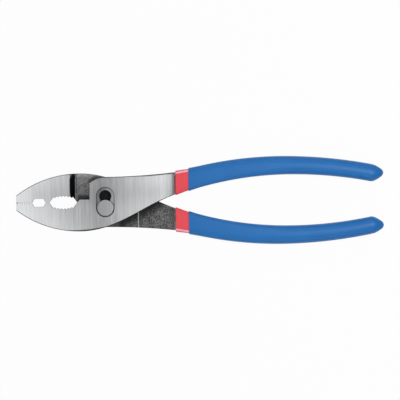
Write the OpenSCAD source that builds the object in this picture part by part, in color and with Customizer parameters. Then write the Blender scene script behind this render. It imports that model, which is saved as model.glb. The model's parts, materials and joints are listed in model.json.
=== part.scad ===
// Slip joint pliers, 200 mm, closed and lying on their back.
// Both levers are one forging turned over: front_half has the slot, rear_half has the bolt hole.
// Lengths along the tool are measured from the middle of the slot, jaws to -X, handles to +X.

/* [Head] */
// Slot middle to the nose of the jaws
jaw_reach = 48.4; // [42:0.1:56]
// Slot middle to the widest place of the head
belly_x = 14; // [9:0.5:15]
// Width of the closed head at its widest place
head_w = 31.6; // [29:0.1:36]
// Height of the closed nose
nose_w = 8.2; // [6:0.1:10]
// Thickness of the head, both joint plates together
head_t = 10; // [9:0.1:12]
// Thickness of the nose
nose_t = 7; // [5:0.1:9]
// Gap between the closed jaws
jaw_gap = 0.1; // [0.05:0.01:0.3]

/* [Joint plates] */
// Radius of the plate round the slot
boss_r = 13.65; // [13:0.05:15]
// Slot middle to the front edge of the plate
plate_front = 8.7; // [7.5:0.1:10]
// Height of the ledge in front of the plate, above the jaw line
ledge_h = 1.5; // [1:0.1:2.2]
// Slot middle to the foot of the shoulder behind the jaw
shoulder_x = 15.6; // [15:0.1:17]
// Length of the sloping shoulder along the tool
shoulder_run = 3.3; // [2:0.1:5]
// Size of the small flat at the foot of the shoulder
shoulder_foot = 0.8; // [0.4:0.1:1.2]
// Slot middle to the end of the milled lap pad
pad_end = 18; // [15:0.5:22]
// Depth of the rough forged face behind the lap pad
pad_relief = 0.4; // [0.2:0.05:0.8]
// Gap between the two joint plates
lap_gap = 0.1; // [0.05:0.01:0.2]

/* [Pivot] */
// Travel of the bolt from one seat of the slot to the other
slip = 6.4; // [5:0.1:6.5]
// Diameter of the bolt's shank
shank_d = 6.3; // [5.8:0.1:7]
// Width of the bolt's neck across its flats
flats_w = 5; // [4.2:0.1:5.4]
// Running clearance round the shank
pivot_fit = 0.05; // [0.02:0.01:0.1]
// Clearance beside the flats in the neck of the slot
flats_fit = 0.1; // [0.05:0.01:0.2]
// Diameter of the bolt's head
bolt_head_d = 8.9; // [8:0.1:9.6]
// Thickness of the bolt's head
bolt_head_t = 2.1; // [1.6:0.1:2.6]
// Broken edge of the bolt's head
bolt_edge = 0.25; // [0.1:0.05:0.5]
// Room round the bolt's head in its recess
head_room = 0.45; // [0.3:0.05:0.8]
// Gap under the bolt's head and under the nut
seat_gap = 0.1; // [0.05:0.01:0.2]
// Diameter of the bolt's threaded end
thread_d = 5; // [4:0.1:5.4]
// Width of the nut across its flats
nut_w = 8; // [7.5:0.1:9]
// Thickness of the nut
nut_t = 2.1; // [1.6:0.1:2.4]
// Room round the nut's corners in its pocket
nut_room = 0.9; // [0.5:0.1:1.4]
// Depth of the nut and the bolt's end below the back face
nut_sink = 0.2; // [0.1:0.05:0.4]
// Clearance of the thread in the nut
thread_fit = 0.02; // [0.01:0.01:0.05]

/* [Jaw teeth] */
// Number of notches across the nose
nose_notches = 6; // [4:1:9]
// Depth of the nose notches
nose_notch_depth = 0.4; // [0.2:0.05:0.6]
// Slot middle to the middle of the wire grip
wire_x = 36.3; // [34:0.1:38]
// Length of the wire grip along the jaw
wire_l = 7.4; // [6.5:0.1:8]
// Length of the toothed flat of the wire grip
wire_flat = 4.8; // [4.2:0.1:5.4]
// Depth of the wire grip in one jaw
wire_depth = 2.4; // [2.2:0.05:3]
// Teeth on each flat of the wire grip
wire_teeth = 4; // [2:1:6]
// Height of the wire grip's teeth
wire_tooth_h = 0.35; // [0.1:0.05:0.4]
// Slot middle to the middle of the pipe grip
pipe_x = 23; // [22:0.1:24]
// Length of the pipe grip along the jaw
pipe_l = 15.2; // [13:0.1:15.4]
// Length of the toothed arc of the pipe grip
pipe_arc_l = 10.8; // [8:0.1:12]
// Depth of the pipe grip in one jaw
pipe_depth = 3.9; // [3:0.1:5]
// Radius of the toothed arc of the pipe grip
pipe_r = 17; // [12:0.5:30]
// Teeth on the arc of the pipe grip
pipe_teeth = 6; // [4:1:9]
// Height of the pipe grip's teeth
pipe_tooth_h = 0.75; // [0.3:0.05:1]

/* [Shanks] */
// Slot middle to the waist of the shank's inner edge
waist_x = 23; // [20:0.5:26]
// Height of the waist above the middle line
waist_y = -3.1; // [-4.5:0.1:-2]
// Slope of the inner edge at the waist
waist_angle = 28; // [24:1:34]
// Slope of the inner edge at the collar
shank_angle = 20; // [18:1:30]
// Length of the roll-off of the ground face before the collar
roll_l = 4.6; // [3:0.1:7]
// Length of the ramp from the lap face to the back of the tang
ramp_l = 1; // [0.8:0.1:1.2]
// Length of full thickness between the ramp and the collar
tang_seat = 0.3; // [0.2:0.05:0.4]
// How far the inner edge of the shank stands below the dipped surface at the collar
collar_step = 0.8; // [0.5:0.05:0.95]

/* [Handles] */
// Slot middle to the tips of the grips
handle_reach = 151.6; // [135:0.1:170]
// Slot middle to the mouth of the collars
collar_x = 38.2; // [37:0.1:40]
// Length of collar that shows in front of the outer coat
collar_l = 7.2; // [4:0.1:12]
// Slot middle to the start of the handle's bend, straight before it
bend_start = 50; // [46:0.5:56]
// Slot middle to the widest place of the handles
crown_x = 98; // [90:1:106]
// Height of the handle's centre line there
crown_y = 18.9; // [18.8:0.1:24]
// Radius of the handle's bend in front of the crown
front_bend_r = 191; // [188:1:260]
// Radius of the handle's bend behind the crown
rear_bend_r = 238; // [180:1:320]
// Width of the dipped handle at the collar, without its flare
mouth_w = 12.6; // [11.6:0.1:12.8]
// Width of the dipped handle near its end
end_w = 9.6; // [9:0.1:11]
// Length over which the handle narrows
taper_l = 101; // [80:1:110]
// Width that the flare adds at the collar
mouth_flare = 1.25; // [0.4:0.05:1.3]
// Length of the flare
flare_l = 14; // [10:0.5:20]
// Thickness of the dipped handle
grip_t = 10; // [9:0.1:12]
// Length of the rounded end of the handle
tip_l = 7.5; // [5:0.1:10]
// Length at the end where the handle runs straight
tip_straight = 6.5; // [2:0.1:7]
// Squareness of the handle's section at the collar
mouth_square = 4.5; // [2.5:0.1:6]
// Squareness of the handle's section near its end
end_square = 2.3; // [2:0.1:3]
// Length over which the section turns round
square_l = 62; // [40:1:90]
// Wall of the outer coat
outer_coat = 0.4; // [0.3:0.05:0.6]
// Wall of the inner coat
inner_coat = 0.5; // [0.4:0.05:0.8]
// Gap between a coat and what it covers
coat_gap = 0.05; // [0.03:0.01:0.1]
// How far the collar stands below the line of the outer coat at its mouth
mouth_inset = 0.15; // [0.1:0.05:0.3]
// Radius of the collar's lip
lip_r = 0.4; // [0.2:0.05:0.5]

/* [Hidden] */

// Steps along round stretches, and the grid of the lofted handles
curve_steps = 16;
ring_sides = 24;
body_rings = 14;
tip_rings = 6;
lip_steps = 3;
tip_spread = 1.7;
tip_swell = 0.8;
tip_flat = 0.03;
curve_pull = 0.36;
flare_ease = 1.25;
notch_share = 0.85;
over = 5;
$fn = 64;

steel = [0.74, 0.75, 0.76];
bolt_steel = [0.66, 0.67, 0.69];
red_vinyl = [0.88, 0.28, 0.31];
blue_vinyl = [0.2, 0.44, 0.7];

// The part stands on its back face, with its origin under the middle of its box
lift = max(head_t, grip_t) / 2;
middle_x = (handle_reach - jaw_reach) / 2;

shank_end = collar_x - coat_gap;
tang_start = shank_end - tang_seat;
grip_x = collar_x + collar_l;
sleeve_inset = outer_coat + coat_gap;
tang_inset = sleeve_inset + inner_coat + coat_gap;
tang_half_t = grip_t / 2 - tang_inset;

seat_d = shank_d + 2 * pivot_fit;
neck_w = flats_w + 2 * flats_fit;
recess_d = bolt_head_d + 2 * head_room;
recess_depth = bolt_head_t + seat_gap;
nut_corner_d = nut_w / cos(30);
pocket_d = nut_corner_d + 2 * nut_room;
pocket_depth = nut_sink + nut_t + seat_gap;
head_under = head_t / 2 - bolt_head_t;
nut_top = nut_sink + nut_t - head_t / 2;

function clamp01(t) = max(0, min(1, t));
function arc(c, r, a0, a1, n) = [for (i = [0:n])
    let (a = a0 + (a1 - a0) * i / n) c + r * [cos(a), sin(a)]];

// Smooth curve that leaves p at slope angle a and reaches q at slope angle b, without p itself
function blend(p, a, q, b, n) = let (
    d = curve_pull * norm(q - p),
    c1 = p + d * [cos(a), sin(a)],
    c2 = q - d * [cos(b), sin(b)])
    [for (i = [1:n]) let (t = i / n, s = 1 - t)
        s * s * s * p + 3 * s * s * t * c1 + 3 * s * t * t * c2 + t * t * t * q];

// Handle: centre line, width, squareness and rounded end as functions of the place along the tool
function bend_r(x) = x < crown_x ? front_bend_r : rear_bend_r;
function bend_y(x) = crown_y - pow(x - crown_x, 2) / (2 * bend_r(x));
start_slope = (crown_x - bend_start) / front_bend_r;
function centre_y(x) = x < bend_start ? bend_y(bend_start) - start_slope * (bend_start - x)
    : bend_y(min(x, handle_reach - tip_straight));
function share_left(x, l) = 1 - clamp01((x - collar_x) / l);
function handle_w(x) = end_w + (mouth_w - end_w) * pow(share_left(x, taper_l), 2)
    + mouth_flare * pow(share_left(x, flare_l), flare_ease);
function squareness(x) = end_square + (mouth_square - end_square) * share_left(x, square_l);
function tip_scale(x, inset) =
    sin(90 * pow(min(1, max(tip_flat, (handle_reach - inset - x) / tip_l)), tip_swell));
function round_power(c, n) = sign(c) * pow(abs(c), 2 / n);

// One section of the handle in the plane at x, with its surface lowered by inset
function ring(x, inset, lowered) = let (s = tip_scale(x, inset), n = squareness(x))
    [for (k = [0:ring_sides - 1]) let (a = -360 * k / ring_sides)
        [x, centre_y(x) + s * (handle_w(x) / 2 - lowered) * round_power(cos(a), n),
            s * (grip_t / 2 - lowered) * round_power(sin(a), n)]];

// Places of the sections: even along the handle, closer together in the rounded end
function stations(x0, inset) = let (x2 = handle_reach - inset, x1 = x2 - tip_l) concat(
    [for (i = [0:body_rings - 1]) x0 + (x1 - x0) * i / body_rings],
    [for (i = [0:tip_rings]) x2 - tip_l * pow(1 - i / tip_rings, tip_spread)]);

function skin(x0, inset) = [for (x = stations(x0, inset)) ring(x, inset, inset)];

// The collar has a round lip and thickens towards its mouth; under the outer coat it is a plain coat
function collar_inset(x) = sleeve_inset + (mouth_inset - sleeve_inset) * share_left(x, collar_l);
function lip_ring(a) = let (x = collar_x + lip_r * (1 - cos(a)))
    ring(x, sleeve_inset, collar_inset(x) + lip_r * (1 - sin(a)));
function collar_skin() = concat(
    [for (i = [0:lip_steps]) lip_ring(90 * i / lip_steps)],
    [ring(collar_x + collar_l / 2, sleeve_inset, collar_inset(collar_x + collar_l / 2))],
    skin(grip_x, sleeve_inset));

function flat_list(rings) = [for (r = rings) each r];
function band(a, b) = [for (k = [0:ring_sides - 1]) let (j = (k + 1) % ring_sides)
    each [[a + k, a + j, b + j], [a + k, b + j, b + k]]];
function side_faces(rings, start) = [for (i = [0:len(rings) - 2])
    each band(start + i * ring_sides, start + (i + 1) * ring_sides)];
function end_face(start) = [for (k = [0:ring_sides - 1]) start + k];
function turned(faces) = [for (f = faces) [for (i = [len(f) - 1:-1:0]) f[i]]];

// Closed solid through a row of sections
module loft(rings) {
    last = (len(rings) - 1) * ring_sides;
    polyhedron(flat_list(rings),
        concat(turned([end_face(0)]), side_faces(rings, 0), [end_face(last)]), convexity = 4);
}

// Cup with an open mouth: an outer row of sections and an inner one
module cup(outer, inner) {
    inner_start = len(outer) * ring_sides;
    outer_last = inner_start - ring_sides;
    inner_last = inner_start + (len(inner) - 1) * ring_sides;
    polyhedron(concat(flat_list(outer), flat_list(inner)),
        concat(side_faces(outer, 0), [end_face(outer_last)],
            turned(side_faces(inner, inner_start)), turned([end_face(inner_last)]),
            band(inner_start, 0)), convexity = 6);
}

// Plan of one lever: jaw below the middle line, handle above it
nose_rise = (head_w - nose_w) / 2;
nose_run = jaw_reach - belly_x;
nose_r = (nose_run * nose_run + nose_rise * nose_rise) / (2 * nose_rise);
nose_sweep = asin(nose_run / nose_r);
collar_in = centre_y(shank_end) - handle_w(shank_end) / 2 + collar_step;
collar_out = centre_y(shank_end) + handle_w(shank_end) / 2 - tang_inset;
boss_angle = acos(-plate_front / boss_r);
pipe_back = pipe_x - pipe_l / 2;

function shank_edge(x) = boss_r + (collar_out - boss_r) * pow(x / shank_end, 2);

module lever_outline() {
    belly = [-belly_x, -head_w / 2];
    waist = [waist_x, waist_y];
    polygon(concat(
        [[-jaw_reach, -jaw_gap / 2]],
        arc(belly + [0, nose_r], nose_r, 270 - nose_sweep, 270, curve_steps),
        blend(belly, 0, waist, waist_angle, curve_steps),
        blend(waist, waist_angle, [shank_end, collar_in], shank_angle, curve_steps / 2),
        [for (i = [curve_steps / 2:-1:1]) let (x = shank_end * 2 * i / curve_steps) [x, shank_edge(x)]],
        arc([0, 0], boss_r, 90, boss_angle, curve_steps / 2),
        [[-plate_front, ledge_h], [ledge_h - pipe_back, ledge_h], [-pipe_back, -jaw_gap / 2]]));
}

// Toothed row from one end to the other: valleys on the depth line, teeth standing up from it
function tooth_row(l, n, h, depth_at) = [for (i = [0:2 * n]) let (x = l * (i / (2 * n) - 0.5))
    [x, -depth_at(x) + (i % 2 == 1 ? h : 0)]];

module pipe_grip() {
    translate([-pipe_x, 0])
        polygon(concat([[-pipe_l / 2, over], [-pipe_l / 2, -jaw_gap / 2]],
            tooth_row(pipe_arc_l, pipe_teeth, pipe_tooth_h,
                function (x) pipe_depth - pipe_r + sqrt(pipe_r * pipe_r - x * x)),
            [[pipe_l / 2, -jaw_gap / 2], [pipe_l / 2, over]]));
}

module wire_grip() {
    translate([-wire_x, 0])
        polygon(concat([[-wire_l / 2, over], [-wire_l / 2, -jaw_gap / 2]],
            tooth_row(wire_flat, wire_teeth, wire_tooth_h, function (x) wire_depth),
            [[wire_l / 2, -jaw_gap / 2], [wire_l / 2, over]]));
}

module nose_serration() {
    land = jaw_reach - wire_x - wire_l / 2;
    pitch = land / (nose_notches + 0.5);
    half = notch_share * pitch / 2;
    for (i = [0:nose_notches - 1])
        translate([pitch * (i + 0.75) - jaw_reach, -jaw_gap / 2])
            polygon([[-half, 0], [0, -nose_notch_depth], [half, 0], [0, over]]);
}

module lever_plan() {
    difference() {
        lever_outline();
        pipe_grip();
        wire_grip();
        nose_serration();
    }
}

// Side view of one lever: x along the tool, y is height above the lap face
function face_z(x) = head_t / 2 - (head_t - nose_t) / 2 * pow(clamp01((-x - belly_x) / nose_run), 2);
roll_drop = head_t / 2 - tang_half_t;
roll_r = (roll_l * roll_l + roll_drop * roll_drop) / (2 * roll_drop);
roll_sweep = asin(roll_l / roll_r);
shoulder_top = -shoulder_x - shoulder_run;
lap_z = lap_gap / 2;

module lever_side() {
    steps = curve_steps / 2;
    nose_xs = [for (i = [0:steps]) -jaw_reach + nose_run * i / steps];
    back_xs = [for (i = [0:steps]) shoulder_top - (jaw_reach + shoulder_top) * i / steps];
    polygon(concat(
        [for (x = nose_xs) [x, face_z(x)]],
        arc([shank_end - roll_l, head_t / 2 - roll_r], roll_r, 90, 90 - roll_sweep, steps),
        [[shank_end, -tang_half_t], [tang_start, -tang_half_t]],
        [[tang_start - ramp_l, lap_z + pad_relief], [pad_end, lap_z + pad_relief], [pad_end, lap_z]],
        [[-shoulder_x, lap_z], [-shoulder_x - shoulder_foot, -shoulder_foot]],
        [for (x = back_xs) [x, -face_z(x)]]));
}

// The forging: plan and side view crossed, with the tang behind the collar
module lever() {
    intersection() {
        translate([0, 0, -head_t])
            linear_extrude(2 * head_t)
                lever_plan();
        rotate([90, 0, 0])
            linear_extrude(4 * head_w, center = true)
                lever_side();
    }
    loft(skin(tang_start, tang_inset));
}

module as_front() {
    translate([-middle_x, 0, lift])
        children();
}

module as_rear() {
    as_front()
        rotate([180, 0, 0])
            children();
}

module at_pivot() {
    as_front()
        translate([0, -slip / 2, 0])
            children();
}

// Slot with a round seat at each end and a recess for the bolt's head
module slip_slot() {
    for (y = [-slip / 2, slip / 2])
        translate([0, y, 0]) {
            translate([0, 0, -over])
                cylinder(d = seat_d, h = 2 * over);
            translate([0, 0, head_t / 2 - recess_depth])
                cylinder(d = recess_d, h = recess_depth + over);
        }
    translate([-neck_w / 2, -slip / 2, -over])
        cube([neck_w, slip, 2 * over]);
    translate([-recess_d / 2, -slip / 2, head_t / 2 - recess_depth])
        cube([recess_d, slip, recess_depth + over]);
}

module front_half() {
    color(steel)
        as_front()
            difference() {
                lever();
                slip_slot();
            }
}

module rear_half() {
    color(steel)
        as_rear()
            difference() {
                lever();
                translate([0, slip / 2, -over])
                    cylinder(d = seat_d, h = 4 * over);
                translate([0, slip / 2, head_t / 2 - pocket_depth])
                    cylinder(d = pocket_d, h = pocket_depth + over);
            }
}

module pivot_bolt() {
    color(bolt_steel)
        at_pivot() {
            translate([0, 0, head_under])
                rotate_extrude()
                    polygon([[0, 0], [bolt_head_d / 2, 0], [bolt_head_d / 2, bolt_head_t - bolt_edge],
                        [bolt_head_d / 2 - bolt_edge, bolt_head_t], [0, bolt_head_t]]);
            intersection() {
                cylinder(d = shank_d, h = head_under);
                translate([-flats_w / 2, -shank_d, 0])
                    cube([flats_w, 2 * shank_d, head_under]);
            }
            translate([0, 0, nut_top])
                cylinder(d = shank_d, h = -nut_top);
            translate([0, 0, nut_top - nut_t])
                cylinder(d = thread_d, h = nut_t);
        }
}

module pivot_nut() {
    nut_edge = (nut_corner_d - nut_w) / 2;
    color(bolt_steel)
        at_pivot()
            translate([0, 0, nut_top - nut_t])
                difference() {
                    intersection() {
                        cylinder(d = nut_corner_d, h = nut_t, $fn = 6);
                        rotate_extrude()
                            polygon([[0, 0], [nut_w / 2, 0], [nut_w / 2 + nut_edge, nut_edge],
                                [nut_w / 2 + nut_edge, nut_t], [0, nut_t]]);
                    }
                    translate([0, 0, -over])
                        cylinder(d = thread_d + 2 * thread_fit, h = 2 * over);
                }
}

module sleeve() {
    color(red_vinyl)
        cup(collar_skin(), skin(collar_x, tang_inset - coat_gap));
}

module grip() {
    color(blue_vinyl)
        cup(skin(grip_x, 0), skin(grip_x, outer_coat));
}

module upper_sleeve() {
    as_front()
        sleeve();
}

module lower_sleeve() {
    as_rear()
        sleeve();
}

module upper_grip() {
    as_front()
        grip();
}

module lower_grip() {
    as_rear()
        grip();
}

front_half();
rear_half();
pivot_bolt();
pivot_nut();
upper_sleeve();
lower_sleeve();
upper_grip();
lower_grip();
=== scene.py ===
"""Slip joint pliers lying on their back: two forged levers, a bolt with its nut, and dipped handles."""
import json
from types import SimpleNamespace

import bmesh
import bpy
import numpy as np
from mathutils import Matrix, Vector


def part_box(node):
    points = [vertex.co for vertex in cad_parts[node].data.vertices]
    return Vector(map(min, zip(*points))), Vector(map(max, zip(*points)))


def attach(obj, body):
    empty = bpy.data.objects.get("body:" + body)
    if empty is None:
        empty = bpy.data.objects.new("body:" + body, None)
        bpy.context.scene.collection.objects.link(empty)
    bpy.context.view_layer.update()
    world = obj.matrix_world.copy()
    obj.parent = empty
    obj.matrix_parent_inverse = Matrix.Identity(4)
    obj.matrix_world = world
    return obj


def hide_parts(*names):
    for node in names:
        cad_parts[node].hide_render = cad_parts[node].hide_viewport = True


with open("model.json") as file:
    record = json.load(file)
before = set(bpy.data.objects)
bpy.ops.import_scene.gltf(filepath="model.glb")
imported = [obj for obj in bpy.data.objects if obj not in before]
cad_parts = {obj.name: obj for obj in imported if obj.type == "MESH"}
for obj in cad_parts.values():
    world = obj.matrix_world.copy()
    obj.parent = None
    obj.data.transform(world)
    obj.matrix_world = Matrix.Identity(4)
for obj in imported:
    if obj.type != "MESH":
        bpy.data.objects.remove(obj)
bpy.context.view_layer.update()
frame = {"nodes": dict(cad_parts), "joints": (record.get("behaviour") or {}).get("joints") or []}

# The levers are one drop forging in carbon steel, turned over to make a pair: jaw, joint plate, shank, tang.
# Their outer faces are ground across the tool on a belt. Edges, sides and lap faces keep the blasted skin.

MM = 0.001
slip, jaw_hinge = frame["joints"]
pivot = np.array(jaw_hinge["pos_m"])
slip_travel = slip["range_m"][1]
slot_middle = pivot + [0, slip_travel / 2, 0]

edge_round = 0.45 * MM
lap_round = 0.2 * MM
tooth_round = 0.1 * MM
slot_round = 0.17 * MM
round_steps = 3
weld_reach = 0.015 * MM
flat_angle = np.radians(0.2)
sharp_angle = np.radians(24)
flat_slopes = (0.955, 0.985)
steel_relief = 0.12 * MM

lap_half = 3.3 * MM
teeth_end = -13.8 * MM
teeth_half = 4.9 * MM
nose_start = -44 * MM
nose_half = 4.4 * MM
ledge_end = -9 * MM
ledge_half = 1.6 * MM
slot_reach = 5.9 * MM
collar_mouth = 38.2 * MM
bare_end = collar_mouth - 0.1 * MM


def edge_normals(mesh):
    """Normals of the two faces at each edge, as two arrays with a row for each edge."""
    count = len(mesh.polygons)
    sides = np.empty(count, np.int32)
    mesh.polygons.foreach_get("loop_total", sides)
    normals = np.empty(count * 3, np.float32)
    mesh.polygons.foreach_get("normal", normals)
    edge_of_corner = np.empty(len(mesh.loops), np.int32)
    mesh.loops.foreach_get("edge_index", edge_of_corner)
    by_corner = np.repeat(normals.reshape(-1, 3), sides, axis=0)
    order = np.argsort(edge_of_corner, kind="stable")
    pairs = by_corner[order].reshape(-1, 2, 3)
    return pairs[:, 0], pairs[:, 1]


def edge_middles(mesh):
    """Middle of each edge, measured from the middle of the slot."""
    points = np.empty(len(mesh.vertices) * 3, np.float32)
    mesh.vertices.foreach_get("co", points)
    ends = np.empty(len(mesh.edges) * 2, np.int32)
    mesh.edges.foreach_get("vertices", ends)
    return points.reshape(-1, 3)[ends.reshape(-1, 2)].mean(axis=1) - slot_middle


def edge_widths(mesh):
    """Rounding of each edge: wide on the outside, small at the lap, teeth and slot, none in the handle."""
    first, second = edge_normals(mesh)
    x, y, z = edge_middles(mesh).T
    steep = 0.5
    leaning = 0.3
    sharp = (first * second).sum(axis=1) < np.cos(sharp_angle)
    upright = np.maximum(abs(first[:, 2]), abs(second[:, 2])) < steep
    lap = abs(z) < lap_half
    both_lean = (abs(first[:, 2]) > leaning) & (abs(second[:, 2]) > leaning)
    shoulder = both_lean & (abs(first[:, 0]) > leaning) & (x < 0)
    teeth = (x < teeth_end) & (abs(y) < np.where(x < nose_start, nose_half, teeth_half))
    ledge = (x < ledge_end) & (abs(y) < ledge_half)
    slot = np.hypot(x, np.maximum(abs(y) - slip_travel / 2, 0)) < slot_reach
    places = [slot, teeth | ledge, upright | lap | shoulder]
    width = np.select(places, [slot_round, tooth_round, lap_round], edge_round)
    return np.where(sharp & (x < bare_end), width, 0)


def forged_lever(node, body, finish):
    """A lever from its solid: coinciding points merged, flat areas joined and the sharp edges rounded."""
    solid = bmesh.new()
    solid.from_mesh(frame["nodes"][node].data)
    bmesh.ops.remove_doubles(solid, verts=solid.verts, dist=weld_reach)
    bmesh.ops.dissolve_limit(solid, angle_limit=flat_angle, verts=solid.verts, edges=solid.edges)
    mesh = bpy.data.meshes.new(node + "_forging")
    solid.to_mesh(mesh)
    solid.free()
    mesh.materials.clear()
    mesh.materials.append(finish)
    if "custom_normal" in mesh.attributes:
        mesh.attributes.remove(mesh.attributes["custom_normal"])
    mesh.shade_smooth()
    mesh.set_sharp_from_angle(angle=sharp_angle)
    weights = mesh.attributes.new("bevel_weight_edge", "FLOAT", "EDGE")
    weights.data.foreach_set("value", (edge_widths(mesh) / edge_round).astype(np.float32))
    piece = bpy.data.objects.new(node + "_forging", mesh)
    bpy.context.scene.collection.objects.link(piece)
    rounding = piece.modifiers.new("rounding", "BEVEL")
    rounding.limit_method = "WEIGHT"
    rounding.width = edge_round
    rounding.segments = round_steps
    rounding.use_clamp_overlap = False
    rounding.harden_normals = True
    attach(piece, body)
    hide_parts(node)
    return piece


class Socket:
    """A value in a node tree: arithmetic on it adds Math nodes, and node() adds a node of any other kind."""

    def __init__(self, tree, socket=None):
        self.tree = tree
        self.socket = socket

    def node(self, kind, settings=None, sockets=None, out=0):
        """Adds a node, sets it up first, then fills its sockets, by name or number, with values or links."""
        made = self.tree.nodes.new(kind)
        for key, value in (settings or {}).items():
            setattr(made, key, value)
        for key, value in (sockets or {}).items():
            if isinstance(value, Socket):
                self.tree.links.new(value.socket, made.inputs[key])
            else:
                made.inputs[key].default_value = value
        return Socket(self.tree, made.outputs[out] if made.outputs else None)

    def math(self, operation, *others):
        """A Math node with this value first."""
        return self.node("ShaderNodeMath", {"operation": operation}, dict(enumerate((self, *others))))

    def __add__(self, other):
        return self.math("ADD", other)

    def __sub__(self, other):
        return self.math("SUBTRACT", other)

    def __rsub__(self, other):
        return self.math("MULTIPLY_ADD", -1.0, other)

    def __mul__(self, other):
        return self.math("MULTIPLY", other)

    def __abs__(self):
        return self.math("ABSOLUTE")

    __radd__ = __add__
    __rmul__ = __mul__

    def larger(self, other):
        """The larger of two values."""
        return self.math("MAXIMUM", other)

    def rise(self, low, high):
        """0 below low, 1 above high and a smooth step between; low above high turns it round."""
        return self.node("ShaderNodeMapRange", {"interpolation_type": "SMOOTHSTEP"},
                         {"Value": self, "From Min": low, "From Max": high})

    def over(self, under, upper):
        """Colour under where this mask is 0 and upper where it is 1."""
        return self.node("ShaderNodeMix", {"data_type": "RGBA"}, {"Factor": self, 6: under, 7: upper}, out=2)

    def tint(self, dark, light):
        """Colour between dark and light, by this value."""
        return self.over((*dark, 1), (*light, 1))


def split(vector):
    """The three numbers of a vector."""
    parts = vector.node("ShaderNodeSeparateXYZ", sockets={0: vector})
    return [Socket(vector.tree, output) for output in parts.socket.node.outputs]


def new_finish(name):
    """Material with an empty tree, and the object's coordinates in metres as a vector and as x, y and z."""
    material = bpy.data.materials.new(name)
    material.use_nodes = True
    material.node_tree.nodes.clear()
    place = Socket(material.node_tree).node("ShaderNodeTexCoord", out=3)
    return material, place, split(place)


def facing(place):
    """The three numbers of the surface's own direction."""
    return split(place.node("ShaderNodeTexCoord", out=1))


def noise(place, scale, detail=2.0, roughness=0.5):
    """Noise from 0 to 1 with scale features to the metre, which may differ along x, y and z."""
    scale = scale if isinstance(scale, tuple) else (scale, scale, scale)
    stretched = place.node("ShaderNodeVectorMath", {"operation": "MULTIPLY"}, {0: place, 1: scale})
    return place.node("ShaderNodeTexNoise", sockets={
        "Vector": stretched, "Scale": 1.0, "Detail": detail, "Roughness": roughness})


def band(value, low, high, soft=0.08):
    """1 between low and high and 0 outside, with soft flanks."""
    return value.rise(low - soft, low + soft) * value.rise(high + soft, high - soft)


def surface(material, place, colour, metallic, roughness, height, depth, shine=0.5):
    """Ends a material in one Principled surface, with height from 0 to 1 as a relief of depth metres."""
    relief = place.node("ShaderNodeBump", sockets={"Strength": 1.0, "Distance": depth, "Height": height})
    shader = place.node("ShaderNodeBsdfPrincipled", sockets={
        "Base Color": colour, "Metallic": metallic, "Roughness": roughness, "Normal": relief,
        "Specular IOR Level": shine})
    place.node("ShaderNodeOutputMaterial", sockets={"Surface": shader})
    return material


def lever_place(place, x, y, z):
    """Where a point of a lever lies: millimetres along and across the tool from the middle of the slot, and
    up from the lap. Masks say if its face is far from the lap, flat, ground or behind the joint."""
    facing_x, _, facing_z = facing(place)
    at = SimpleNamespace(place=place)
    at.along = (x - slot_middle[0]) * (1 / MM)
    at.across = (y - slot_middle[1]) * (1 / MM)
    at.aside = abs(at.across)
    at.up = (z - slot_middle[2]) * (1 / MM)
    at.height = abs(at.up)
    at.slope = abs(facing_z)
    at.lean = abs(facing_x)
    at.outer = at.height.rise(1.6, 2.0)
    rolled_end = at.along.rise(31, 33) * 0.07
    at.flat = (at.slope + rolled_end).rise(*flat_slopes)
    at.ground = at.flat * at.outer
    at.behind = at.along.rise(5, 9)
    return at


def from_slot(at):
    """Square of the distance from the line that the bolt's axis slides on, in square millimetres."""
    past_end = (at.aside - slip_travel / MM / 2).larger(0.0)
    return at.along * at.along + past_end * past_end


def ground_steel_and_painted_light(at, belt, scratch):
    """Colour of the ground faces: a grey with the belt's streaks, lightened with painted light from the
    joint to both ends. Painted shade dims it at the roll-off to the collar, in a soft band along the tool,
    round the joint, at the outlines of belly and shank, and in the recess of the bolt's head."""
    along, across = at.along, at.across
    dimmest, soft_reach = -5, 3
    # Painted light: the grey lightens from the joint to both ends.
    from_joint = ((along - dimmest) * (along - dimmest) + soft_reach ** 2).math("SQRT")
    upper_jaw = across.larger(0.0) * along.rise(-8, -16)
    lower_jaw = (across * -1).larger(0.0) * along.rise(4, -8)
    # Painted light: lighter on the jaws away from the middle line, darker along the shank.
    tilt = upper_jaw * 0.003 + lower_jaw * 0.0045 - along.rise(10, 28) * 0.075
    streaks = (belt - 0.5) * 0.29 + (scratch - 0.5) * 0.16 + (noise(at.place, 60) - 0.5) * 0.1
    shade = 0.303 + from_joint * 0.0109 + tilt + streaks

    # Painted shade: each share below dims the grey.
    roll_off = along.rise(32.2, 37.4) * 0.9
    valley = abs(across - 4.7).rise(8, 0) * along.rise(-47, -38) * 0.11
    joint = band(along, -7, 12, soft=5) * across.rise(-9, 0) * 0.12
    belly_line = at.aside + along * (along * 0.0065 + 0.226)
    belly = belly_line.rise(12.8, 13.6) * band(along, -22, 0, soft=3) * 0.93
    shank_line = at.aside - along * along * 0.00149
    shank = shank_line.rise(12.6, 13.4) * band(along, 20, 40, soft=6) * 0.85
    recess = from_slot(at).rise(34, 28) * at.height.rise(3.3, 3.0) * along.rise(3, -2) * 0.36
    for painted_shade in (roll_off, valley, joint, belly, shank, recess):
        shade = shade * (1 - painted_shade)
    return shade.tint((0, 0, 0), (0.98, 1.0, 1.015))


def blasted_speckle(at, grain, blotch, pits):
    """Lightness of the blasted skin: a coarse speckle, darker and rougher with oxide behind the joint, paler
    on the worn outline of the plate, and lighter with painted light towards the collar, most on the last of
    the ramp before it."""
    along = at.along
    oxide = at.behind
    worn = at.aside.rise(12.8, 15.2) * (1 - oxide)
    # Painted light towards the collar, most on the last of the ramp.
    ramp = along.rise(24, 34) * 0.05 + along.rise(36.5, 37.0) * 0.22
    lightness = 0.45 - oxide * 0.22 + ramp + worn * 0.22
    speckle = (grain - 0.5) * (1.7 + oxide * 0.7)
    return lightness + speckle + (blotch - 0.5) * 0.5 + (pits - 0.5) * 0.35


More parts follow.
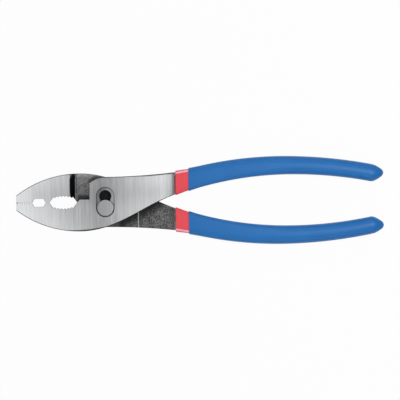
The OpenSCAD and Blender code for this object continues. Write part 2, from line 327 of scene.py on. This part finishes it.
def lap_painted_shadow(at):
    """Painted shadow on the lap: before the ledge, under the plate's long edge and round its corner."""
    along, across = at.along, at.across
    plate_edge = (30.4 - along) * 0.543
    ledge = band(along, -15.2, -7, soft=0.5) * at.aside.rise(5.0, 2.9)
    under_plate = (at.aside - plate_edge).rise(6.0, 0.0) * at.behind
    from_middle = (along * along + across * across).math("SQRT")
    plate_corner = from_middle.rise(16.0, 14.3) * along.rise(-9.6, -8.6) * at.aside.rise(8, 10)
    beside_plate = plate_corner * (1 - at.behind)
    return (ledge * 0.75).larger(under_plate * 0.85).larger(beside_plate * 0.52) * (1 - at.outer)


def rim_painted_shade(at):
    """Painted shade on the rounded edges: most on the plate, little on the outline of the jaws and on the
    lit side of the slot, and none on the last of the ramp before the collar."""
    along, across = at.along, at.across
    slot_light = from_slot(at).rise(36, 30) * along.rise(-3, 3) * across.rise(-2, 2) * 0.72
    scale = 0.4 - across.rise(-1, 1) * 0.2 + along.rise(-26, -16) * 0.6
    return band(at.slope, 0.12, 0.95) * at.outer * scale * (1 - slot_light) * along.rise(36.9, 36.5)


def cut_teeth(at):
    """The toothed strip along the line where the jaws meet, narrower at the nose and off the lap faces."""
    strip = at.aside + at.along.rise(-42, -44) * 3.9
    return strip.rise(5.2, 4.7) * at.along.rise(-14.2, -14.8) * (1 - at.flat * (1 - at.outer))


def shoulder_painted_shade(at):
    """Where near-black painted shade goes: the slope behind the jaw and a narrow lip before it, on the side
    that steps down. Its front corner is rounded, so near the outline it starts further back."""
    front, lip, foot = -19.4, -18.5, -16.45
    from_corner = at.along - at.aside.rise(12.2, 15.4) * 1.6
    ramp = band(from_corner, front, foot) * band(at.slope, 0.15, 0.93)
    edge = band(from_corner, front, lip) * at.ground
    return ramp.larger(edge) * (at.across * at.up).rise(0, 0.5)


def forging_finish():
    """Ground steel on the outer faces and blasted grey skin on the rest, told apart by slope and height.
    Marks are laid over the skin one by one, each a mask with its colour: cut teeth, painted shade and
    highlights."""
    material, place, xyz = new_finish("forging")
    at = lever_place(place, *xyz)
    along, slope, ground = at.along, at.slope, at.ground
    belt = noise(place, (1300, 45, 45), detail=3.0, roughness=0.6)
    scratch = noise(place, (3800, 90, 90), detail=2.0, roughness=0.6)
    grain = noise(place, 1500, detail=6.0, roughness=0.8)
    blotch = noise(place, 300)
    pits = place.node("ShaderNodeTexVoronoi", sockets={"Vector": place, "Scale": 2600.0})
    speckle = blasted_speckle(at, grain, blotch, pits)
    # The skin's speckle, darkened by the painted shadow on the lap.
    skin = (speckle * (1 - lap_painted_shadow(at))).tint((0.02, 0.02, 0.021), (0.5, 0.5, 0.505))

    teeth = cut_teeth(at)
    tooth_steel = (speckle * 0.3 + 0.5).tint((0.05, 0.05, 0.052), (0.66, 0.665, 0.68))
    shoulder = shoulder_painted_shade(at)
    foot, foot_line, foot_end = -16.4, -15.85, -15.6
    lap_face = slope.rise(0.2, 0.4) * (1 - at.outer)
    # A painted highlight and a painted shade line at the foot of the slope, on the lap faces.
    foot_highlight = band(along, foot, foot_line, soft=0.05) * lap_face
    foot_shade = band(along, foot_line, foot_end, soft=0.1) * lap_face
    # Painted highlight along the end of the pad.
    pad_edge_highlight = band(along, 17.7, 18.15) * slope.larger(at.lean).rise(0.4, 0.7) * (1 - at.outer)
    from_bolt = at.across + slip_travel / MM / 2
    from_bolt_axis = (along * along + from_bolt * from_bolt).math("SQRT")
    # Near-black painted shade on the lap round the bolt, where it lies deep under the slot.
    slot_painted_shade = from_bolt_axis.rise(10.6, 9.4) * at.height.rise(2.75, 2.6)
    slot_shade_black = speckle.tint((0.008, 0.008, 0.008), (0.04, 0.037, 0.036))
    # Painted shadow in the closed nip at the nose.
    nip_shadow = along.rise(-46.7, -47.3) * at.aside.rise(0.5, 0.25) * slope.rise(0.2, 0.5)
    marks = [
        # Painted shade on the rounded edges.
        (rim_painted_shade(at), (0.015, 0.015, 0.016, 1)),
        (teeth, tooth_steel),
        # Near-black painted shade on the slope behind the jaw.
        (shoulder, (0.006, 0.006, 0.006, 1)),
        # Painted highlight and painted shade at the foot of the slope.
        (foot_highlight * 0.7, (0.42, 0.42, 0.425, 1)),
        (foot_shade * 0.85, (0.015, 0.015, 0.015, 1)),
        # Painted highlight at the end of the pad.
        (pad_edge_highlight * 0.6, (0.8, 0.8, 0.81, 1)),
        # Near-black painted shade round the bolt, deep in the slot.
        (slot_painted_shade * 0.97, slot_shade_black),
        # Painted shadow in the nip.
        (nip_shadow, (0.02, 0.02, 0.02, 1))]
    for mark, colour in marks:
        skin = mark.over(skin, colour)

    # Bare steel on the edges of the teeth, and on the plate's front edge as a painted highlight.
    plate_edge = band(along, -14, -8.2) * band(at.aside, 1.0, 11.2) * slope.rise(0.3, 0.5)
    bright_edge = plate_edge.larger(teeth * slope.rise(0.12, 0.3)) * at.outer
    # The recess floor right round the bolt's head keeps the dark skin instead of ground steel, as painted
    # shade in the gap.
    head_gap = band(from_bolt_axis, 4.35, 5.0) * at.height.rise(3.1, 2.9)
    bare = ground.larger(bright_edge) * (1 - shoulder) * (1 - head_gap * 0.9) * (1 - nip_shadow)
    colour = bare.over(skin, ground_steel_and_painted_light(at, belt, scratch))
    roughness = ground * (scratch * 0.1 - 0.37) + (0.66 + grain * 0.06)
    skin_relief = grain * 0.7 + blotch * 0.4 + pits * 0.5
    relief = ground * (scratch * 0.18 + belt * 0.1) + (1 - ground) * skin_relief
    return surface(material, place, colour, 1.0, roughness, relief, steel_relief)


steel_finish = forging_finish()
forged_lever("front_half", "front_lever", steel_finish)
forged_lever("rear_half", "rear_lever", steel_finish)

# The pivot bolt is turned from bar: a flat head, a neck with two flats to pass the slot, a round shoulder
# that the rear lever turns on, and a cut thread. Its head is ground flush with the face after assembly.

head_r = 4.45 * MM
head_t = 2.1 * MM
head_edge = 0.2 * MM
edge_bulge = 0.3 * head_edge
shank_r = 3.15 * MM
flat_half = 2.5 * MM
thread_r = 2.5 * MM
thread_pitch = 0.8 * MM
thread_depth = 0.42 * MM
thread_stretch = 1.3
pole_r = 0.02 * MM
neck_step = 0.01 * MM
tolerance = 1e-9
nut_t = 2.1 * MM
nut_low = 0.2 * MM
nut_top = nut_low + nut_t
face_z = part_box("front_half")[1].z
crease_angle = np.radians(32)


def grid_piece(name, points, body, node, slot, finish, **marks):
    """Piece from a grid of points, rows along it and columns round it, closed round and capped at both ends.
    Each mark is a grid of numbers from 0 to 1 that the finish reads by its name."""
    rows, columns = points.shape[:2]
    index = np.arange(rows * columns).reshape(rows, columns)
    beside = np.roll(index, -1, axis=1)
    quads = np.stack([index[:-1], beside[:-1], beside[1:], index[1:]], axis=-1).reshape(-1, 4)
    caps = [index[0, ::-1].tolist(), index[-1].tolist()]
    mesh = bpy.data.meshes.new(name)
    mesh.from_pydata(points.reshape(-1, 3).tolist(), [], quads.tolist() + caps)
    mesh.materials.append(finish)
    mesh.shade_smooth()
    mesh.set_sharp_from_angle(angle=crease_angle)
    for mark, values in marks.items():
        numbers = mesh.attributes.new(mark, "FLOAT", "POINT")
        numbers.data.foreach_set("value", values.astype(np.float32).ravel())
    piece = bpy.data.objects.new(name, mesh)
    bpy.context.scene.collection.objects.link(piece)
    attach(piece, body)
    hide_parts(node)
    return piece


def full_turn(columns):
    """Even angles once round, the last one short of the first."""
    return np.linspace(0, 2 * np.pi, columns, endpoint=False)


def about_pivot(radius, turn, height):
    """Points at these radii, angles and heights about the pivot's axis."""
    return np.stack([pivot[0] + radius * np.cos(turn), pivot[1] + radius * np.sin(turn), height], axis=-1)


def turned_profile(*stops):
    """Rows of a turned shape: straight lines between stops, each (radius, height, rows to the next stop)."""
    radius, height, rows = np.array(stops).T
    stop_rows = np.concatenate([[0], np.cumsum(rows[:-1])])
    steps = np.arange(int(stop_rows[-1]) + 1)
    return np.interp(steps, stop_rows, radius), np.interp(steps, stop_rows, height)


def thread_wave(turn, height):
    """Depth share of a thread, 0 on its crest and 1 in its root: a triangle wave that climbs one pitch in a
    turn, stretched and cut off so that crest and root are flat."""
    phase = (height / thread_pitch - turn / (2 * np.pi)) % 1
    return np.clip(abs(2 * phase - 1) * thread_stretch - (thread_stretch - 1) / 2, 0, 1)


def bolt_points(columns=192):
    """Bolt about the pivot's axis: the profile's radius, cut by the neck's flats and waved on the thread."""
    turn = full_turn(columns)
    under_head = face_z - head_t
    lap = pivot[2]
    radius, height = turned_profile(
        (pole_r, nut_low, 2), (thread_r - thread_depth, nut_low, 1), (thread_r, nut_low + thread_depth, 44),
        (thread_r, nut_top, 1), (shank_r, nut_top, 4), (shank_r, lap, 1), (shank_r, lap + neck_step, 4),
        (shank_r, under_head, 1), (head_r, under_head, 3), (head_r, face_z - head_edge, 3),
        (head_r - edge_bulge, face_z - edge_bulge, 2), (head_r - head_edge, face_z, 12), (pole_r, face_z, 0))
    radius = np.repeat(radius[:, None], columns, axis=1)
    height = np.repeat(height[:, None], columns, axis=1)
    neck = (height > lap) & (height < under_head + tolerance) & (radius < shank_r + tolerance)
    flats = flat_half / np.maximum(abs(np.cos(turn)), tolerance)
    radius = np.where(neck, np.minimum(radius, flats), radius)
    on_thread = abs(radius - thread_r) < tolerance
    threaded = on_thread & (height > nut_low + thread_depth / 2) & (height < nut_top)
    radius = radius - np.where(threaded, thread_depth * thread_wave(turn, height), 0)
    return about_pivot(radius, turn, height)


def bolt_finish():
    """Turned steel: the head's face is ground in line with the lever, the rest is dark and shows rings."""
    material, place, (x, y, z) = new_finish("bolt")
    near_face = (z * (1 / MM)).rise(9.7, 9.9)
    ground = facing(place)[2].rise(*flat_slopes) * near_face
    belt = noise(place, (900, 30, 30), detail=3.0, roughness=0.6)
    scratch = noise(place, (3600, 60, 60), detail=2.0, roughness=0.6)
    stain = noise(place, 420, detail=4.0, roughness=0.65)
    ring_scale = 3600
    off_axis = ((x - pivot[0]) * (x - pivot[0]) + (y - pivot[1]) * (y - pivot[1])).math("SQRT")
    rings = place.node("ShaderNodeCombineXYZ", sockets={0: off_axis * ring_scale, 1: z * ring_scale})
    turned = place.node("ShaderNodeTexNoise", sockets={"Vector": rings, "Scale": 1.0, "Detail": 3.0})
    along = (x - pivot[0]) * (1 / MM)
    # Painted light: the head's ground face lightens across it, as the lever's face does.
    steel = (belt * 0.5 + scratch * 0.3 + along * 0.04).tint((0.25, 0.255, 0.26), (0.46, 0.465, 0.475))
    dark = (turned * 0.9 + (stain - 0.5) * 0.9).tint((0.1, 0.1, 0.105), (0.42, 0.42, 0.43))
    roughness = 0.4 - ground * 0.06 + scratch * 0.06 + (1 - ground) * stain * 0.12
    relief = ground * (scratch * 0.18 + belt * 0.1) + (1 - ground) * (turned * 0.2 + stain * 0.2)
    return surface(material, place, ground.over(dark, steel), 1.0, roughness, relief, steel_relief)


pivot_finish = bolt_finish()
grid_piece("turned_bolt", bolt_points(), "pivot", "pivot_bolt", "pivot_steel", pivot_finish)

# The nut is a thin hexagon nut, chamfered on both faces, that closes the bolt in a round pocket on the back.
# It is plain steel with a cut thread, and lies just below the rear lever's back face.

nut_half_w = 4 * MM
nut_chamfer = 0.45 * MM
chamfer_spread = 1.6
chamfer_rows = 16
cone_r = nut_half_w + 0.02 * MM
face_r = nut_half_w - 0.1 * MM
bore_r = thread_r + 0.02 * MM
mouth_r = thread_r + 0.12 * MM
bore_rows = 45


def nut_points(columns=288):
    """Nut about the pivot's axis: a hexagon's radius, cut by a cone at both faces, and a threaded bore."""
    turn = full_turn(columns)
    sixth = np.pi / 3
    hexagon = nut_half_w / np.cos((turn + sixth / 2) % sixth - sixth / 2)
    chamfer_z = np.linspace(0, nut_chamfer, chamfer_rows)
    side_z = np.concatenate([nut_low + chamfer_z, nut_top - chamfer_z[::-1]])
    cone = cone_r + np.minimum(side_z - nut_low, nut_top - side_z) * chamfer_spread
    side = np.minimum(hexagon[None, :], cone[:, None])
    bore_z = np.linspace(nut_top, nut_low, bore_rows)[1:-1]
    bore = bore_r - thread_depth * thread_wave(turn[None, :], bore_z[:, None])
    mouth = np.full((1, columns), mouth_r)
    face = np.full((1, columns), face_r)
    radius = np.concatenate([mouth, face, side, face, mouth, bore, mouth])
    height = np.concatenate([[nut_low] * 2, side_z, [nut_top] * 2, bore_z, [nut_low]])
    return about_pivot(radius, turn, np.repeat(height[:, None], columns, axis=1))


def ring_piece(name, points, body, node, slot, finish):
    """As grid_piece, but the last row lies on the first, so that the piece is a closed ring with a hole."""
    piece = grid_piece(name, points, body, node, slot, finish)
    shape = bmesh.new()
    shape.from_mesh(piece.data)
    caps = [face for face in shape.faces if len(face.verts) > 4]
    bmesh.ops.delete(shape, geom=caps, context="FACES_ONLY")
    bmesh.ops.remove_doubles(shape, verts=shape.verts, dist=weld_reach)
    bmesh.ops.recalc_face_normals(shape, faces=shape.faces)
    shape.to_mesh(piece.data)
    shape.free()
    return piece


ring_piece("hexagon_nut", nut_points(), "pivot", "pivot_nut", "pivot_steel", pivot_finish)

# The collars are the first of two dip coats on the warm tangs: red soft vinyl that shows ahead of the blue.
# The coat hugs the tang, thickens a little to a round lip at its mouth and runs on to the end of the handle.

bend_start = 50 * MM
crown_x = 98 * MM
crown_y = 18.9 * MM
front_bend_r = 191 * MM
rear_bend_r = 238 * MM
handle_reach = 151.6 * MM
tip_straight = 6.5 * MM
mouth_w = 12.6 * MM
end_w = 9.6 * MM
taper_l = 101 * MM
mouth_flare = 1.25 * MM
flare_l = 14 * MM
flare_power = 1.25
grip_t = 10 * MM

tip_l = 7.5 * MM
tip_power = 0.8
blunt_share = 0.17
blunt_weight = 0.26
pole_share = 0.0005
square_l = 62 * MM
end_power = 2.3
mouth_squareness = 2.2
inner_squarer = 2.0
outer_squarer = -0.9

grip_start = 45.4 * MM
outer_coat = 0.4 * MM
inner_coat = 0.5 * MM
coat_gap = 0.05 * MM
mouth_inset = 0.15 * MM
collar_lip = 0.4 * MM
# Where the painted highlight line lies inside the handle's outer edge, and its half width.
thin_line = 1.45 * MM
thin_half = 0.45 * MM
peel_relief = 0.03 * MM


def centre_line(x):
    """Height of the handle's centre line: straight to the bend, a parabola to the crown and one after it."""
    bent = np.clip(x, bend_start, handle_reach - tip_straight)
    radius = np.where(bent < crown_x, front_bend_r, rear_bend_r)
    slope = (crown_x - bend_start) / front_bend_r
    return crown_y - (bent - crown_x) ** 2 / (2 * radius) - slope * np.maximum(bend_start - x, 0)


def left_of(x, length):
    """Share of a length from the collar's mouth that is still to come at x, from 1 to 0."""
    return 1 - np.clip((x - collar_mouth) / length, 0, 1)


def handle_width(x):
    """Width of the dipped handle: a quadratic taper and a flare at the collar."""
    taper = (mouth_w - end_w) * left_of(x, taper_l) ** 2
    return end_w + taper + mouth_flare * left_of(x, flare_l) ** flare_power


def tip_shrink(x, inset):
    """Size of the section in the rounded end, from 1 to almost 0: a sine of the length that is left, filled
    out by a quarter circle over the last of it, which makes the end blunt."""
    left = np.clip((handle_reach - inset - x) / tip_l, pole_share, 1)
    blunt = np.sqrt(1 - (1 - np.minimum(left / blunt_share, 1)) ** 2)
    pointed = np.sin(np.pi / 2 * left)
    filled = blunt_weight * blunt + (1 - blunt_weight) * pointed
    return np.maximum(np.sin(np.pi / 2 * left ** tip_power), filled)


def handle_points(x, inset, lowered, columns=96):
    """Rows of superellipse sections at the places x, lowered under the outer line and shrunk at the tip.
    They are squarish at the collar, more so on the inner side, and turn round towards the end."""
    turn = full_turn(columns)[None, :]
    x, inset, lowered = (values[:, None] for values in np.broadcast_arrays(x, inset, lowered))
    shrink = tip_shrink(x, inset)
    squareness = mouth_squareness + np.where(np.cos(turn) > 0, outer_squarer, inner_squarer)
    power = 2 / (end_power + squareness * left_of(x, square_l))
    across = np.sign(np.cos(turn)) * abs(np.cos(turn)) ** power
    up = np.sign(np.sin(turn)) * abs(np.sin(turn)) ** power
    y = centre_line(x) + shrink * (handle_width(x) / 2 - lowered) * across
    z = shrink * (grip_t / 2 - lowered) * up
    return np.stack([np.broadcast_to(x, y.shape), y, z], axis=-1)


def along_handle(start, inset, rows=120, tip_rows=32, crowding=2.4):
    """Places along the handle from start to the tip, even at first and crowded in the rounded end."""
    end = handle_reach - inset
    body = np.linspace(start, end - tip_l, rows, endpoint=False)
    return np.concatenate([body, end - tip_l * np.linspace(1, 0, tip_rows) ** crowding])


def coat_points(start, lip, outer_inset, inner_inset, lip_rows=7):
    """Dip coat as one skin: from the tip up the inside to the mouth, round the lip and back down outside."""
    tip_inset = outer_inset(handle_reach)
    inner_x = along_handle(start + lip, inner_inset)[::-1]
    outer_x = along_handle(start + lip, tip_inset)[1:]
    turn = np.linspace(0, np.pi / 2, lip_rows)
    lip_x = start + lip * (1 - np.cos(turn))
    lip_inset = outer_inset(lip_x) + lip * (1 - np.sin(turn))
    return np.concatenate([
        handle_points(inner_x, inner_inset, inner_inset),
        handle_points([start], inner_inset, inner_inset),
        handle_points(lip_x, tip_inset, lip_inset),
        handle_points(outer_x, tip_inset, outer_inset(outer_x))])


def as_handle(points, upper):
    """A handle in the tool: above the middle line, or turned over about the tool's length for the lower."""
    turned = points * ([1, 1, 1] if upper else [1, -1, -1])
    return turned + [slot_middle[0], 0, pivot[2]]


def painted_edge_highlight(points):
    """Painted highlight line along the handle's outer edge: a bell curve on a line about a millimetre
    inside the edge, on both faces, and 0 elsewhere."""
    x, y, _ = np.moveaxis(points, -1, 0)
    inside = centre_line(x) + handle_width(x) / 2 - y
    return np.exp(-((inside - thin_line) / thin_half) ** 2)


def vinyl_finish(name, dark, light, satin, shine, stretched):
    """Soft dipped vinyl: one colour with faint clouds, deeper towards the tips, with a painted highlight
    line where the mesh marks it, and an orange-peel relief."""
    material, place, (x, _, _) = new_finish(name)
    cloud = noise(place, 90, detail=3.0)
    peel = noise(place, 900, detail=2.0)
    fine = noise(place, 5200)
    thin = place.node("ShaderNodeAttribute", {"attribute_name": "thin"}, out=2)
    towards_tip = x.rise(30 * MM, 100 * MM)
    dipped = (cloud * 0.7 + fine * 0.3 - towards_tip * 0.45).tint(dark, light)
    # The colour named stretched is painted in as a highlight line where the mark is.
    colour = (thin * (0.9 + (peel - 0.5) * 0.6)).over(dipped, (*stretched, 1))
    roughness = satin + cloud * 0.1 + fine * 0.05
    relief = peel * 0.75 + fine * 0.25
    return surface(material, place, colour, 0.0, roughness, relief, peel_relief, shine)


def collar_inset(x):
    """How far the red coat lies under the outer line: a little at its mouth, the blue coat's wall behind."""
    under = outer_coat + coat_gap
    return under + (mouth_inset - under) * left_of(x, grip_start - collar_mouth)


# stretched is the colour of the painted highlight line along the collar's outer edge.
red_finish = vinyl_finish(
    "red_vinyl", dark=(0.655, 0.045, 0.06), light=(0.765, 0.072, 0.094), satin=0.14, shine=0.3,
    stretched=(1.0, 0.53, 0.66))
collar = coat_points(collar_mouth, collar_lip, collar_inset, outer_coat + coat_gap + inner_coat)
upper_collar = as_handle(collar, upper=True)
lower_collar = as_handle(collar, upper=False)
# Painted highlight line along the collars' outer edges, as a mark on their meshes.
thin = painted_edge_highlight(collar)
grid_piece("upper_collar", upper_collar, "front_lever", "upper_sleeve", "red_vinyl", red_finish, thin=thin)
grid_piece("lower_collar", lower_collar, "rear_lever", "lower_sleeve", "red_vinyl", red_finish, thin=thin)

# The grips are the second dip coat: blue soft vinyl over the red, from a clean dip line to the rounded tip.
# The dipped handle is squarish behind the dip line and turns round towards its end.

dip_lip = 0.2 * MM


def flush(x):
    """The blue coat is the outer line itself."""
    return np.zeros_like(np.asarray(x, float))


# stretched would be the colour of a painted highlight line; the grips carry no such mark.
blue_finish = vinyl_finish(
    "blue_vinyl", dark=(0.004, 0.108, 0.338), light=(0.009, 0.145, 0.428), satin=0.32, shine=0.29,
    stretched=(0.05, 0.22, 0.6))
dip = coat_points(grip_start, dip_lip, flush, outer_coat)
upper_dip = as_handle(dip, upper=True)
lower_dip = as_handle(dip, upper=False)
grid_piece("upper_dip", upper_dip, "front_lever", "upper_grip", "blue_vinyl", blue_finish)
grid_piece("lower_dip", lower_dip, "rear_lever", "lower_grip", "blue_vinyl", blue_finish)

# Stage: a plain white floor under the tool, a soft studio sky with a brighter top and key side, and a lamp
# over the handles' ends. A long lens looks straight down, turned a little as the tool lies in the picture.

bpy.context.scene.view_settings.view_transform = "Standard"
floor_half = 4.0
floor_drop = 0.2 * MM
floor_corners = np.array([(-1, -1, 0), (1, -1, 0), (1, 1, 0), (-1, 1, 0)]) * floor_half
floor_mesh = bpy.data.meshes.new("floor")
floor_mesh.from_pydata((floor_corners - [0, 0, floor_drop]).tolist(), [], [(0, 1, 2, 3)])
floor = bpy.data.objects.new("floor", floor_mesh)
bpy.context.scene.collection.objects.link(floor)


def seen_directly(tree):
    """1 for camera, glossy and transmission rays, 0 for the light that reaches matt surfaces."""
    rays = Socket(tree).node("ShaderNodeLightPath").socket.node
    camera, glossy, through = (Socket(tree, rays.outputs[n])
                               for n in ("Is Camera Ray", "Is Glossy Ray", "Is Transmission Ray"))
    return (camera + glossy + through).math("MINIMUM", 1.0)


def floor_finish():
    """White paper: mostly its own white where it is seen, so that only a faint shadow is left on it."""
    material, place, _ = new_finish("paper")
    own_white = 0.97
    paper = place.node("ShaderNodeBsdfDiffuse", sockets={"Color": (0.5, 0.5, 0.5, 1)})
    white = place.node("ShaderNodeEmission", sockets={"Color": (1, 1, 1, 1), "Strength": 1.0})
    shown = place.node("ShaderNodeMixShader", sockets={
        0: seen_directly(material.node_tree) * own_white, 1: paper, 2: white})
    place.node("ShaderNodeOutputMaterial", sockets={"Surface": shown})
    return material


floor_mesh.materials.append(floor_finish())

world = bpy.data.worlds.new("studio")
bpy.context.scene.world = world
world.use_nodes = True
world.node_tree.nodes.clear()
sky = Socket(world.node_tree).node("ShaderNodeTexCoord", out=0)
sky_x, sky_y, sky_z = split(sky)
overhead = sky_z.rise(0.8, 0.98)
key_side = (0 - sky_x).rise(0.2, 0.75)
far_side = sky_x.rise(0.3, 0.8)
strips = band(abs(sky_y), 0.78, 0.86, soft=0.02) * sky_z.rise(0.3, 0.4)
radiance = 0.56 + overhead * 0.48 + key_side * 0.32 - far_side * 0.2 + strips * 2.5
backdrop = sky.node("ShaderNodeBackground", sockets={"Color": (1, 1, 1, 1), "Strength": radiance})
sky.node("ShaderNodeOutputWorld", sockets={"Surface": backdrop})

end_box = bpy.data.lights.new("end_box", "AREA")
end_box.shape = "RECTANGLE"
end_box.size = 0.25
end_box.size_y = 0.08
end_box.energy = 0.45
end_lamp = bpy.data.objects.new("end_box", end_box)
end_lamp.location = (0.2, 0.028, 0.26)
end_lamp.visible_camera = False
bpy.context.scene.collection.objects.link(end_lamp)

photo_span = 217.6 * MM
photo_middle = (51.55 * MM, 0.5 * MM)
photo_turn = np.radians(0.7)
camera_height = 3.0
lens = bpy.data.cameras.new("camera")
lens.lens = lens.sensor_width * (camera_height - face_z) / photo_span
lens.clip_end = 20.0
camera = bpy.data.objects.new("camera", lens)
camera.location = (slot_middle[0] + photo_middle[0], photo_middle[1], camera_height)
camera.rotation_euler = (0, 0, -photo_turn)
bpy.context.scene.collection.objects.link(camera)
bpy.context.scene.camera = camera
